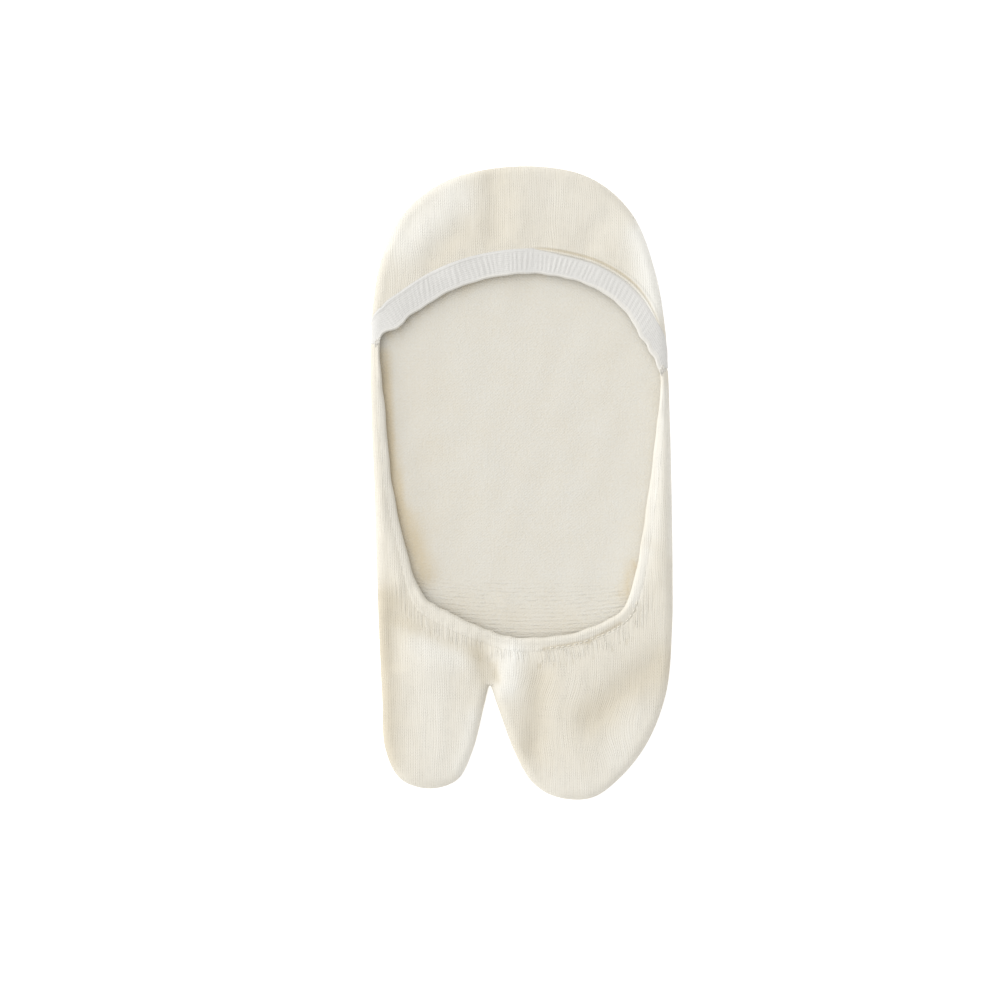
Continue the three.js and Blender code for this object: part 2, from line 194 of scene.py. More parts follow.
# Painted light and shade of the top cloth: pale where the cloth catches the light, on swells,
# side folds and edges, and deeper and warmer where shade falls, in hollows, furrows, the lane
# of the hem and along the end of the welt. The last number is the tone, 1 for palest.
TOP_PAINTED_LIGHT_AND_SHADE = (
    ("pale heel, inner side", -37, 76, -21, 90, 7.5, 0.75),
    ("pale heel edge, outer side", 43, 57, 38, 78, 5.4, 1.2),
    ("deep heel, middle", -9, 78, -9, 97, 7, -0.27),
    ("deep heel, inner side", -27, 68, -19, 79, 4.5, -0.30),
    ("pale heel, outer side", 8, 92, 26, 84, 8, 0.15),
    ("deep big toe edge", -45, -38, -44, -88, 5.4, -0.95),
    ("pale big toe joint", -32, -51, -21, -55, 4.5, 0.5),
    ("pale big toe", -28, -60, -26, -90, 7, 0.35),
    ("pale big toe, cleft side", -15, -74, -18, -90, 3.6, 0.6),
    ("deep furrow to the cleft", -14, -52, -11, -61, 3.2, -0.55),
    ("pale swell beside the cleft", -3, -54, -4, -64, 4.6, 0.9),
    ("deep spot beside the cleft", -9, -57.5, -7.6, -62.2, 1.3, -0.7),
    ("deep second toe", 6, -62, 3, -84, 5.5, -0.55),
    ("deep slanting furrow", 45, -57, 22, -74, 6.5, -0.65),
    ("pale small toes", 37, -73, 30, -87, 6, 0.4),
    ("pale tip of the toes", 12, -95, 24, -96, 5, 0.25),
    ("deep lane of the hem 1", 7, -52.3, 21, -49.9, 0.7, -0.8),
    ("deep lane of the hem 2", 21, -49.9, 31, -44.2, 0.7, -0.8),
    ("deep end of the welt 1", -39, -43.5, -24, -50, 2.0, -0.28),
    ("deep end of the welt 2", -22, -50.6, -13, -55, 2.0, -0.28),
    ("deep hem corner, inner side", -41, -36, -34, -44, 5, -0.35),
    ("pale hem, outer side", 44.8, 28, 41.5, -16, 2.8, 0.5),
    ("pale side fold, outer side", 47.4, 24, 47.2, -22, 1.5, 0.5),
    ("pale hem, outer ball", 39.5, -22, 35.5, -37, 2.2, 0.5),
    ("pale hem, inner side", -44.2, 26, -40, -20, 2.6, 0.1),
)

# Where the columns of the knit lean towards the little toe, and how steeply, about one line
# across the toes and one across the heel.
TOE_LINE, HEEL_LINE = -68.0, 78.0
LEANS = (
    ("lean of the small toes", 8, -64, 26, -72, 11, 0.30),
    ("lean of the heel, inner side", -30, 72, -22, 84, 9, -0.10),
    ("lean of the heel, outer side", 30, 74, 22, 84, 9, 0.10),
)

KNIT_WALL = 1.0
TOP_HEIGHT = 4.6
FOLD_HEIGHT = 2.3
FOLD_REACH = 2.2
SHOULDER = 3.0
SOLE_CENTRE = np.array([1.0, 10.0])
CURVE_STEPS = 40


def closed_curve(rows):
    """Each section's numbers carried smoothly on to the next, all round and back to the
    first: cubic pieces whose slopes mix the steps before and after, with knots at the square
    roots of the distances along the outline."""
    after = np.roll(rows, -1, 0)
    span = np.sqrt(np.linalg.norm((after - rows)[:, :2], axis=1))[:, None]
    before = np.roll(span, 1, 0)
    step_after = (after - rows) / span
    step_before = np.roll(step_after, 1, 0)
    slope = (step_before * span + step_after * before) / (span + before)
    t = (np.arange(CURVE_STEPS) / CURVE_STEPS)[None, :, None]
    span = span[:, :, None]
    pieces = (
        (2 * t**3 - 3 * t**2 + 1) * rows[:, None]
        + (t**3 - 2 * t**2 + t) * span * slope[:, None]
        + (3 * t**2 - 2 * t**3) * after[:, None]
        + (t**3 - t**2) * span * np.roll(slope, -1, 0)[:, None]
    )
    return pieces.reshape(-1, rows.shape[1])


def ring_closed(grid):
    """The grid with its first line repeated at the end."""
    return np.concatenate([grid, grid[:1]], axis=0)


def unit(vectors):
    """The vectors at a length of 1."""
    return vectors / np.linalg.norm(vectors, axis=-1, keepdims=True)


OUTLINE, EDGE, TRIM, REACH = slice(0, 2), slice(2, 4), 4, 5
curve = ring_closed(closed_curve(np.array([row[1:] for row in SECTIONS], float)))
curve_steps = np.diff(curve, axis=0)
edge_steps = np.linalg.norm(curve_steps[:, EDGE], axis=1)
GIRTH = edge_steps.sum()
outline_steps = np.linalg.norm(curve_steps[:, OUTLINE], axis=1)
walk = np.append(0.0, np.cumsum(outline_steps + edge_steps))
walk /= walk[-1]
outline_run = unit(np.roll(curve[:-1, OUTLINE], -1, 0) - np.roll(curve[:-1, OUTLINE], 1, 0))
outline_inward = ring_closed(np.stack([-outline_run[:, 1], outline_run[:, 0]], axis=1))


def station(place):
    """How far round the sock a section is, from 0 at the middle of the heel to 1."""
    return walk[[row[0] for row in SECTIONS].index(place) * CURVE_STEPS]


def round_the_sock(columns, stations):
    """Values given along the closed curve, read off at the stations."""
    return np.stack([np.interp(stations % 1.0, walk, column) for column in columns.T], axis=-1)


def inside_by(points):
    """How far each point of the plan is from the nearest stretch of the outline."""
    start, run = curve[:-1, OUTLINE], curve_steps[:, OUTLINE]
    flat = points.reshape(-1, 2)
    nearest = np.empty(len(flat))
    batch = 4000
    for first in range(0, len(flat), batch):
        part = flat[first : first + batch]
        closest = ((part[:, None] - start[None]) ** 2).sum(-1).argmin(1)
        best = np.full(len(part), np.inf)
        for neighbour in (closest - 1, closest):
            a, r = start[neighbour], run[neighbour]
            share = np.clip(((part - a) * r).sum(1) / (r**2).sum(1), 0, 1)[:, None]
            best = np.minimum(best, np.linalg.norm(part - a - share * r, axis=1))
        nearest[first : first + batch] = best
    return nearest.reshape(points.shape[:-1])


def fold_rise(points, folds):
    """The height that a table of folds adds: for each, its rise times a Gaussian of the
    distance to its line."""
    rise = np.zeros(points.shape[:-1])
    for _, from_x, from_y, to_x, to_y, width, height in folds:
        a = np.array([from_x, from_y])
        run = np.array([to_x, to_y]) - a
        share = np.clip(((points - a) @ run) / (run @ run), 0, 1)[..., None]
        away = np.linalg.norm(points - a - share * run, axis=-1)
        rise += height * np.exp(-((away / width) ** 2))
    return rise


def ripple(points, size, seed):
    """Slow random waves of cloth between about -1 and 1: a sum of sines in all directions,
    their lengths near the given size."""
    draw = np.random.default_rng(seed)
    total = np.zeros(points.shape[:-1])
    waves = 9
    for _ in range(waves):
        turn, lag = draw.uniform(0, 2 * math.pi, 2)
        length = size * draw.uniform(0.6, 1.7)
        heading = np.array([math.cos(turn), math.sin(turn)]) * 2 * math.pi / length
        total += np.sin(points @ heading + lag)
    return total * 2.0 / waves


TOP_RIPPLE = 0.10
RIPPLE_SIZE = 17.0


def top_height(points, inside):
    """Height of the top cloth: from the side fold it rises as a quarter of an ellipse, then
    lies level but for its folds and ripples."""
    turn = np.sqrt(1 - (1 - np.minimum(inside / SHOULDER, 1)) ** 2)
    level = TOP_HEIGHT + fold_rise(points, TOP_FOLDS) + TOP_RIPPLE * ripple(points, RIPPLE_SIZE, 3)
    return FOLD_HEIGHT + (level - FOLD_HEIGHT) * turn


def blend(a, b, share):
    return a + (b - a) * share


class SectionLines:
    """Fine lines along the outside of the cloth at the given stations, each from the edge of
    the opening over the top, round the side fold and on to the flat of the sole."""

    TOP_POINTS = 72
    FOLD_POINTS = 16

    def __init__(self, stations):
        self.stations = stations
        section = round_the_sock(curve, stations)
        outline, edge = section[:, OUTLINE], section[:, EDGE]
        self.trim = section[:, TRIM]
        inward = unit(round_the_sock(outline_inward, stations))
        reach = section[:, REACH]

        share = (np.arange(self.TOP_POINTS) / self.TOP_POINTS)[None, :, None]
        fold = outline + inward * reach[:, None]
        top = blend(edge[:, None], fold[:, None], share)
        top_z = top_height(top, inside_by(top))

        start = np.arccos(1 - reach / SHOULDER)[:, None]
        angle = start * (1 - np.arange(self.FOLD_POINTS) / self.FOLD_POINTS)[None]
        depth = SHOULDER * (1 - np.cos(angle))
        over = outline[:, None] + inward[:, None] * depth[..., None]
        over_z = top_height(over, depth)

        angle = np.linspace(0, math.pi / 2, self.FOLD_POINTS + 1)[None]
        depth_under = reach[:, None] * (1 - np.cos(angle))
        under = outline[:, None] + inward[:, None] * depth_under[..., None]
        under_z = np.broadcast_to(FOLD_HEIGHT * (1 - np.sin(angle)), depth_under.shape)

        plan = np.concatenate([top, over, under], axis=1)
        z = np.concatenate([top_z, over_z, under_z], axis=1)
        self.points = np.concatenate([plan, z[..., None]], axis=-1)
        steps = np.linalg.norm(np.diff(self.points, axis=1), axis=-1)
        self.lengths = np.concatenate([np.zeros((len(stations), 1)), steps.cumsum(1)], axis=1)
        self.fold_start = self.lengths[:, self.TOP_POINTS]
        self.outermost = self.lengths[:, self.TOP_POINTS + self.FOLD_POINTS]
        self.flat_sole = self.lengths[:, -1]

        # The same lines with the side fold opened out flat, for the run of the knit.
        sunk = np.concatenate([np.zeros_like(top_z), reach[:, None] - depth], axis=1)
        beyond = np.maximum(self.lengths[:, : sunk.shape[1]] - self.fold_start[:, None], 0) - sunk
        open_top = np.concatenate([top, over], axis=1) - inward[:, None] * beyond[..., None]
        beyond = self.flat_sole[:, None] - self.lengths[:, sunk.shape[1] :]
        beyond = beyond - (reach[:, None] - depth_under)
        open_under = under - inward[:, None] * beyond[..., None]
        self.opened = np.concatenate([open_top, open_under], axis=1)

    def along(self, values, lengths):
        """Values of the lines, read off at lengths from the edge of the opening: one row of
        lengths for each line."""
        count = self.lengths.shape[1]
        at = (self.lengths[:, None] <= lengths[..., None]).sum(-1) - 1
        at = np.clip(at, 0, count - 2)
        row = np.arange(len(lengths))[:, None]
        low, high = self.lengths[row, at], self.lengths[row, at + 1]
        share = ((lengths - low) / (high - low))[..., None]
        return blend(values[row, at], values[row, at + 1], share)


def grid_normals(grid, closed):
    """Unit normals of a grid of points, lines by steps, from each point's neighbours; they
    point out of the cloth."""
    if closed:
        around = np.roll(grid, -1, 0) - np.roll(grid, 1, 0)
    else:
        around = np.gradient(grid, axis=0)
    return unit(np.cross(np.gradient(grid, axis=1), around))


class Cloth:
    """A piece of cloth put together from grids of points, each with its own coordinates for
    the knit and for the bake. Meeting edges are merged at the end."""

    def __init__(self, name):
        self.name = name
        self.corners, self.faces, self.material = [], [], []
        self.maps = {}
        self.count = 0

    def add(self, grid, maps, material=0, flip=False):
        """A grid of points, lines by steps. maps holds a pair of numbers for every point."""
        lines, steps = grid.shape[:2]
        index = np.arange(lines * steps).reshape(lines, steps) + self.count
        quads = np.stack(
            [index[:-1, :-1], index[:-1, 1:], index[1:, 1:], index[1:, :-1]], axis=-1
        ).reshape(-1, 4)
        if flip:
            quads = quads[:, ::-1]
        self.corners.append(grid.reshape(-1, 3))
        self.faces.append(quads)
        self.material.append(np.full(len(quads), material))
        for key, pairs in maps.items():
            self.maps.setdefault(key, []).append(pairs.reshape(-1, 2)[quads.ravel() - self.count])
        self.count += lines * steps

    def build(self, materials):
        """The finished object, in metres, with smooth faces and its meeting edges merged."""
        corners = np.concatenate(self.corners) * MM
        faces = np.concatenate(self.faces)
        mesh = bpy.data.meshes.new(self.name)
        mesh.from_pydata(corners.tolist(), [], faces.tolist())
        for key, pairs in self.maps.items():
            layer = mesh.uv_layers.new(name=key)
            layer.uv.foreach_set("vector", np.concatenate(pairs).astype(np.float32).ravel())
        for material in materials:
            mesh.materials.append(material)
        mesh.polygons.foreach_set("material_index", np.concatenate(self.material))
        tidy = bmesh.new()
        tidy.from_mesh(mesh)
        bmesh.ops.remove_doubles(tidy, verts=tidy.verts, dist=1e-4 * MM)
        tidy.to_mesh(mesh)
        tidy.free()
        mesh.shade_smooth()
        mesh.validate()
        piece = bpy.data.objects.new(self.name, mesh)
        scene.collection.objects.link(piece)
        return piece


class Field:
    """A number that changes over a surface: arithmetic on it adds Math nodes."""

    def __init__(self, shader, socket):
        self.shader, self.socket = shader, socket

    def math(self, operation, *others):
        values = {i: other for i, other in enumerate((self, *others))}
        return self.shader.node("ShaderNodeMath", {"operation": operation}, values)

    def __add__(self, other):
        return self.math("ADD", other)

    def __sub__(self, other):
        return self.math("SUBTRACT", other)

    def __mul__(self, other):
        return self.math("MULTIPLY", other)

    def __truediv__(self, other):
        return self.math("DIVIDE", other)

    def __rsub__(self, other):
        return self.math("MULTIPLY_ADD", -1.0, other)

    __radd__, __rmul__ = __add__, __mul__

    def clamped(self):
        return self.math("MAXIMUM", 0.0).math("MINIMUM", 1.0)

    def wave(self):
        """A cosine wave, once for every whole number."""
        return (self * (2 * math.pi)).math("COSINE")

    def step(self, low, high):
        """Smoothly 0 below low and 1 above high, or the other way where low is greater."""
        settings = {"interpolation_type": "SMOOTHSTEP"}
        values = {"Value": self, "From Min": low, "From Max": high, "To Min": 0.0, "To Max": 1.0}
        if low > high:
            values.update({"From Min": high, "From Max": low, "To Min": 1.0, "To Max": 0.0})
        return self.shader.node("ShaderNodeMapRange", settings, values, "Result")


class Shader:
    """The nodes of one material."""

    def __init__(self, name):
        self.material = bpy.data.materials.new(name)
        self.material.use_nodes = True
        self.tree = self.material.node_tree
        self.surface = self.tree.nodes["Principled BSDF"]

    def node(self, kind, settings, values, output=0):
        """A node of a type, with its settings, then its sockets' values or links."""
        made = self.tree.nodes.new(kind)
        for key, value in settings.items():
            setattr(made, key, value)
        for key, value in values.items():
            self.feed(made.inputs[key], value)
        return Field(self, made.outputs[output])

    def feed(self, socket, value):
        if isinstance(value, Field):
            self.tree.links.new(value.socket, socket)
        else:
            socket.default_value = value

    def coordinates(self, uv_map):
        """The two numbers of a UV map, and the pair as a vector."""
        pair = self.node("ShaderNodeUVMap", {"uv_map": uv_map}, {})
        parts = self.node("ShaderNodeSeparateXYZ", {}, {0: pair})
        return parts, Field(self, parts.socket.node.outputs[1]), pair

    def scaled(self, vector, factors):
        settings = {"operation": "MULTIPLY"}
        return self.node("ShaderNodeVectorMath", settings, {0: vector, 1: factors})

    def noise(self, vector, scale, detail=2.0):
        """Random patches from 0 to 1 that average a half; scale counts them per unit."""
        values = {"Vector": vector, "Scale": scale, "Detail": detail, "Roughness": 0.55}
        return self.node("ShaderNodeTexNoise", {}, values, "Fac")

    def mixed(self, share, colour_a, colour_b):
        """Colour a where the share is 0 and colour b where it is 1."""
        settings = {"data_type": "RGBA", "clamp_factor": True}
        return self.node("ShaderNodeMix", settings, {0: share, 6: colour_a, 7: colour_b}, 2)

    def finish(self, colour, height, relief, roughness, constants):
        """Feeds the surface. relief is how deep the height's unit is, in metres."""
        values = {"Height": height, "Distance": relief, "Strength": 1.0}
        bump = self.node("ShaderNodeBump", {}, values)
        self.feed(self.surface.inputs["Base Color"], colour)
        self.feed(self.surface.inputs["Normal"], bump)
        self.feed(self.surface.inputs["Roughness"], roughness)
        for key, value in constants.items():
            self.surface.inputs[key].default_value = value
        return self.material


# The knit's columns and rows, the depth of its bump in metres, and its colours.
WALE = 1.2
COURSE = 0.9
FACE_RELIEF = 0.00016
BACK_RELIEF = 0.00014
COTTON_ROUGHNESS = 0.9
COTTON = {"Specular IOR Level": 0.25, "Sheen Weight": 0.30, "Sheen Roughness": 0.4}
# The knit's palest and deepest colours, outside and inside: its own uneven tone spans between
# them, and they also give the painted light and the warm painted shade of the tone tables.
PALE_AND_PAINTED_LIGHT = (0.930, 0.912, 0.850)
PALE_INSIDE = (0.764, 0.751, 0.697)
DEEP_INSIDE_AND_PAINTED_SHADE = (0.700, 0.610, 0.450)
DEEP_AND_PAINTED_SHADE = (0.675, 0.612, 0.487)


def knit_face(name, middle):
    """The smooth side of the knit: columns of V-shaped loops. A loop's two legs lean apart,
    so the wave down a leg is shifted by the distance from the middle of its column."""
    shader = Shader(name)
    across, down, pair = shader.coordinates("knit")
    from_edge = shader.coordinates("edge")[1]
    column = (across / WALE).math("FRACT") - 0.5
    off_middle = column.math("ABSOLUTE")
    leg = 1.0 - ((off_middle - 0.25) * 4.0).math("POWER", 2.0)
    row = (down / COURSE + off_middle * 1.3).wave()
    loops = leg * (row * 0.3 + 0.7)
    strand = shader.noise(shader.scaled(pair, (1.0, 0.09, 0.0)), 1.3, 3.0)
    patch = shader.noise(pair, 0.22, 3.0)
    speck = shader.noise(pair, 1.9, 2.0)
    welt = from_edge.step(9.0, 7.6) * from_edge.step(2.4, 5.0)
    welt = welt * (patch.step(0.35, 0.6) * 0.7 + 0.3) * down.step(-26.0, -38.0)
    rib = (across / (WALE * 1.25) + strand * 1.5).wave()
    # The welt's dashes are small dents, and they are also painted darker as the shade in them.
    dash = (across / 2.3 + strand * 1.2).wave().step(0.1, 0.8) * patch.step(0.42, 0.58)
    dash = dash * from_edge.step(7.7, 8.5) * from_edge.step(10.4, 9.4) * down.step(-41.0, -43.0)
    clear = patch.step(0.3, 0.62) * 0.6 + 0.4
    height = loops * clear * 0.7 + strand * 0.9 + rib * welt * 0.5 + speck * 0.35 - dash * 0.3
    shade = (strand - 0.5) * 0.26 + (speck - 0.5) * 0.14 + (loops - 0.5) * clear * 0.12
    # The tone map adds the painted light and shade of the folds and the hem.
    shade = shade + rib * welt * 0.09 + (patch - 0.5) * 0.14 + shader.coordinates("tone")[0] * 0.5
    shade = shade - dash * 0.16
    colour = shader.mixed((shade + middle).clamped(), (*DEEP_AND_PAINTED_SHADE, 1.0), (*PALE_AND_PAINTED_LIGHT, 1.0))
    return shader.finish(colour, height, FACE_RELIEF, COTTON_ROUGHNESS, COTTON)


def knit_back(name, middle):
    """The purl side of the knit: rows of short arcs, each row a course. Near the toes the
    courses lie looser and show as plain lines."""
    shader = Shader(name)
    across, down, pair = shader.coordinates("knit")
    bowed = down - (across - 3.0).math("POWER", 2.0) * 0.0022
    arcs = (down / COURSE + (across / WALE).wave() * 0.22).wave()
    speck = shader.noise(pair, 1.5, 3.0)
    fleck = shader.noise(pair, 0.75, 2.0)
    patch = shader.noise(pair, 0.09, 3.0)
    ragged = down + across * 0.04 + fleck * 5.0
    toe_zone = ragged.step(-27.5, -30.5)
    drift = shader.noise(shader.scaled(pair, (0.06, 0.5, 0.0)), 1.0, 2.0)
    lines = (bowed / 1.3 + drift * 0.7).wave()
    broken = shader.noise(shader.scaled(pair, (0.28, 0.9, 0.0)), 1.0, 2.0).step(0.40, 0.66)
    height = arcs * 0.10 + speck * 0.75 + fleck * 0.5 + lines * toe_zone * broken * 0.6
    shade = (speck - 0.5) * 0.4 + (fleck - 0.5) * 0.25 + (patch - 0.5) * 0.3
    # The tone map adds the painted shade under the hem and the band.
    shade = shade + lines * toe_zone * broken * 0.06 + shader.coordinates("tone")[0] * 0.75
    colour = shader.mixed((shade + middle).clamped(), (*DEEP_INSIDE_AND_PAINTED_SHADE, 1.0), (*PALE_INSIDE, 1.0))
    return shader.finish(colour, height, BACK_RELIEF, COTTON_ROUGHNESS + 0.02, COTTON)


AROUND = 600
TOP_RINGS = 40
FOLD_RINGS = 7
SOLE_RINGS = 24
SEAM_RINGS = np.array([0.0, 0.09, 0.2, 0.33, 0.45, 0.56, 0.66, 0.76, 0.87, 0.96])

# Where pieces lap: how far they do, how much the cloth under one sinks or the cloth over one
# rises, how wide the heel cloth's lip is, and the line of stitches behind that lip, which is
# sunk and painted darker as the shade in its groove.
LAP = 0.8
LAP_SINK = 0.40
LAP_RISE = 0.30
LAP_GAP = 0.05
LIP = 1.1
SEAM_LINE_DEPTH = 0.42
SEAM_LINE_WIDTH = 0.36
SEAM_LINE_PAINTED_SHADE = 1.3

# Along the band 1 is where the heel cloth laps over it and -1 where the band laps over the
# cloth; the hem laps over the cloth all the way. The second number is how much further the
# band reaches than the seam of the cloth under it, in millimetres.
LAPS = (
    ("heel back", -0.3, 0.0),
    ("heel, inner side 1", -1.0, 0.0),
    ("band, inner side", -1.0, 0.0),
    ("band end, inner side", -1.0, 4.2),
    ("band end, outer side", -1.0, 4.4),
    ("band, outer side", 0.0, 0.0),
    ("heel, outer side 3", 1.0, 0.0),
    ("heel, outer side 1", 1.0, 0.0),
)
lap_stations = [station(row[0]) for row in LAPS] + [1.0]


def along_laps(stations, column):
    values = [row[column] for row in LAPS]
    return np.interp(stations % 1.0, lap_stations, values + values[:1])[:, None]


def smooth_step(values, low, high):
    share = np.clip((values - low) / (high - low), 0, 1)
    return share**2 * (3 - 2 * share)


def band_reach(stations):
    """How far the band goes past the seam of the cloth; nothing where the hem is."""
    first, last = station("band end, inner side"), station("band end, outer side")
    return np.where(((stations % 1.0 > first) & (stations % 1.0 < last))[:, None], 0.0, 1.0) * (
        along_laps(stations, 2)
    )


stations = np.arange(AROUND) / AROUND
lines = SectionLines(stations)
lap = along_laps(stations, 1)
trim = lines.trim[:, None]
cover = trim + band_reach(stations)
lip_share = np.maximum(lap, 0) ** 0.5
seam = trim + LAP_GAP - (LAP + LAP_GAP) * np.maximum(-lap, 0) - LIP * lip_share
seam_end = trim + 0.25 + 0.8 * lip_share
outermost = lines.outermost[:, None]
flat_sole = lines.flat_sole[:, None]
turn = np.maximum(lines.fold_start[:, None], blend(seam_end, outermost, 0.4))


def ring_lengths(top_rings):
    """Lengths along each section line of the rings over the seam, the top and the fold."""
    return np.concatenate(
        [
            blend(seam, seam_end, SEAM_RINGS[None]),
            blend(seam_end, turn, (np.arange(top_rings) / top_rings)[None]),
            blend(turn, outermost, (np.arange(FOLD_RINGS) / FOLD_RINGS)[None]),
            blend(outermost, flat_sole, (np.arange(FOLD_RINGS + 1) / FOLD_RINGS)[None]),
        ],
        axis=1,
    )


def seam_line(lengths):
    """How near a point is to the line of stitches that holds the lip of the heel cloth down
    on the band, where it has one: 1 on the line."""
    return lip_share * np.exp(-(((lengths - trim) / SEAM_LINE_WIDTH) ** 2))


def lap_end(lengths, wide):
    """The step at the outer edge of what laps over the cloth: 0 before it and 1 past it."""
    return smooth_step(lengths, wide - 0.42, wide - 0.03)


def body_skin(top_rings, wall):
    """The points of the body's outside, or of its inside where a wall is given, from the
    seam to the flat of the sole, with the opened-out plan and the lengths from the edge."""
    lengths = ring_lengths(top_rings)
    surface = lines.along(lines.points, lengths)
    normals = grid_normals(surface, closed=True)
    if wall:
        thin = lip_share * (1 - smooth_step(lengths, trim + 0.1, trim + 0.9))
        shift = -blend(wall, LAP_RISE, thin)
    else:
        over_trim = smooth_step(lengths, seam - 0.1, seam + 0.3)
        over_trim = over_trim * (1 - smooth_step(lengths, trim + 0.6, trim + 1.6))
        under_trim = 1 - lap_end(lengths, cover)
        shift = np.where(lap > 0, LAP_RISE * lip_share * over_trim, LAP_SINK * lap * under_trim)
        shift = shift - SEAM_LINE_DEPTH * seam_line(lengths)
    return surface + normals * shift[..., None], lines.along(lines.opened, lengths), lengths


def knit_run(opened):
    """The opened-out plan with the columns of the knit wandering, and leaning about one line
    across the toes and one across the heel."""
    down = opened[..., 1]
    lean = fold_rise(opened, LEANS) * np.where(down < 0, down - TOE_LINE, down - HEEL_LINE)
    wander = 0.45 * ripple(opened * np.array([1.0, 0.5]), 9.0, 41)
    return np.stack([opened[..., 0] - lean + wander, down], axis=-1)


def sole_grid(rim, height):
    """The flat of the sole from a rim ring in to the centre, its height a function of the
    plan."""
    share = (np.arange(SOLE_RINGS + 1) / SOLE_RINGS)[None, :, None]
    plan = blend(rim[:, None], SOLE_CENTRE[None, None], share**0.85)
    return np.concatenate([plan, height(plan)[..., None]], axis=-1), plan


def tones(plan, table):
    """The painted light and shade of the cloth at each point of the plan, from a table, in a pair
    as a UV map holds it.
    """
    tone = fold_rise(plan, table)
    return np.stack([tone, np.zeros_like(tone)], axis=-1)


# name, from x, from y, to x, to y, width, rise
SOLE_FOLDS = (
    ("swell along the inner ball", -38, 6, -33, -26, 5.5, 0.5),
    ("swell along the inner waist", -42, 30, -40, 6, 3.0, 0.3),
    ("swell at the outer ball", 37, -14, 34, -30, 4.0, 0.35),
    ("swell under the toe hem", -28, -36, 26, -44, 4.0, 0.2),
    ("faint hollow of the heel", -6, 40, 8, 48, 14, -0.12),
    ("faint ridge of the arch", -12, 8, -4, -16, 6, 0.14),
)
SOLE_RIPPLE = 0.09
UNDER_FOLDS = (
    ("crease across the arch", -30, 4, -8, 9, 3.0, 0.16),
    ("crease under the ball", 8, -34, 34, -28, 3.4, 0.18),
    ("crease beside the heel", 16, 60, 24, 80, 3.0, 0.14),
    ("crease of the big toe", -36, -60, -20, -66, 3.0, 0.15),
    ("crease of the small toes", 12, -70, 34, -62, 3.2, 0.15),
)

# As for the top cloth. The inside of the sole has painted shade, deep and warm under the edges
# of the hem and the band and faintly over the inner side and towards the toes. The underside
# has painted shade in the crease of the small toes, and is a little darker at the heel and paler
# at the arch.
SOLE_PAINTED_SHADE = (
    ("deep under the hem, inner side", -44.2, 41, -42.3, 15, 1.7, -1.6),
    ("deep under the hem, inner waist", -42.0, 12.5, -38.5, -9, 2.0, -1.4),
    ("deep under the hem, inner ball", -36.4, -12.5, -30.4, -29, 3.7, -1.0),
    ("deep under the hem, outer ball", 35.4, -26, 32.6, -35.5, 1.7, -0.75),
    ("deep under the band, inner side", -43.0, 46.8, -26.8, 59.2, 1.2, -0.5),
    ("deep under the band, middle 1", -24.9, 60.2, -10.8, 64.8, 1.1, -0.5),
    ("deep under the band, middle 2", -8.8, 65.2, 7.0, 66.0, 1.1, -0.5),
    ("deep towards the toes", -22, -38, 14, -46, 6, -0.18),
    ("deep inner side", -30, 30, -27, -12, 9, -0.10),
)
UNDER_TONES_AND_PAINTED_SHADE = (
    ("deep heel", -10, 74, 12, 76, 22, -0.12),
    ("pale arch", -16, 10, -10, -14, 16, 0.18),
    ("deep crease of the small toes", 12, -70, 34, -62, 5, -0.2),
)


def insole_height(plan):
    rise = fold_rise(plan, SOLE_FOLDS) + SOLE_RIPPLE * ripple(plan, 13.0, 8)
    settled = np.clip((inside_by(plan) - FOLD_REACH) / 4.0, 0, 1)
    return KNIT_WALL + rise * settled


def under_height(plan):
    settled = np.clip((inside_by(plan) - FOLD_REACH - 1.0) / 5.0, 0, 1)
    return np.maximum(fold_rise(plan, UNDER_FOLDS), 0) * settled


# The bake's square, in millimetres, and the fields that parts of the body are laid in.
BAKE_SIDE = 330.0
BAKE_FIELD = np.array([106.0, 208.0])


def bake_place(plan, column, row, size=1.0):
    """A flat piece of the plan laid in its own field of the bake's square."""
    return (np.array([column, row]) * BAKE_FIELD + (plan + BAKE_FIELD / 2) * size) / BAKE_SIDE


def body_maps(run, lengths, tone, bake_field):
    """The coordinates of a part of the body from its opened-out plan: for the knit, how far
    round the opening and how far from its edge, the tone of its painted light and shade, and its
    place in the bake."""
    around = np.broadcast_to((np.append(stations, 1.0) * GIRTH)[:, None], lengths.shape)
    return {
        "knit": knit_run(run),
        "edge": np.stack([around, lengths], axis=-1),
        "tone": tone,
        "OFBake": bake_place(run, *bake_field),
    }


def upper_and_under(rings):
    """The rings of a skin from the seam to the outermost line, and from there to the sole."""
    equator = len(SEAM_RINGS) + rings + FOLD_RINGS
    return slice(0, equator + 1), slice(equator, None)


INNER_TOP_RINGS = 16
FAR_FROM_EDGE = 60.0

body = Cloth("knitted_body")
outside, opened, lengths = body_skin(TOP_RINGS, 0.0)
# The top cloth's painted light and shade, with painted shade along the line of stitches behind the
# lip.
tone = tones(outside[..., :2], TOP_PAINTED_LIGHT_AND_SHADE) - SEAM_LINE_PAINTED_SHADE * seam_line(lengths)[..., None]
outside, opened, lengths, tone = (ring_closed(g) for g in (outside, opened, lengths, tone))
upper, under = upper_and_under(TOP_RINGS)
round_the_fold = np.linspace(0, 1, FOLD_RINGS + 1)[None, :, None]
tone_under = blend(tone[:, under], tones(outside[:, under, :2], UNDER_TONES_AND_PAINTED_SHADE), round_the_fold)
for part, part_tone, column in ((upper, tone[:, upper], 0), (under, tone_under, 1)):
    body.add(
        outside[:, part], body_maps(opened[:, part], lengths[:, part], part_tone, (column, 0))
    )
under_sole, plan = sole_grid(outside[:, -1, :2], under_height)
far_from_edge = np.full(plan.shape[:2], FAR_FROM_EDGE)
body.add(under_sole, body_maps(plan, far_from_edge, tones(plan, UNDER_TONES_AND_PAINTED_SHADE), (1, 0)))

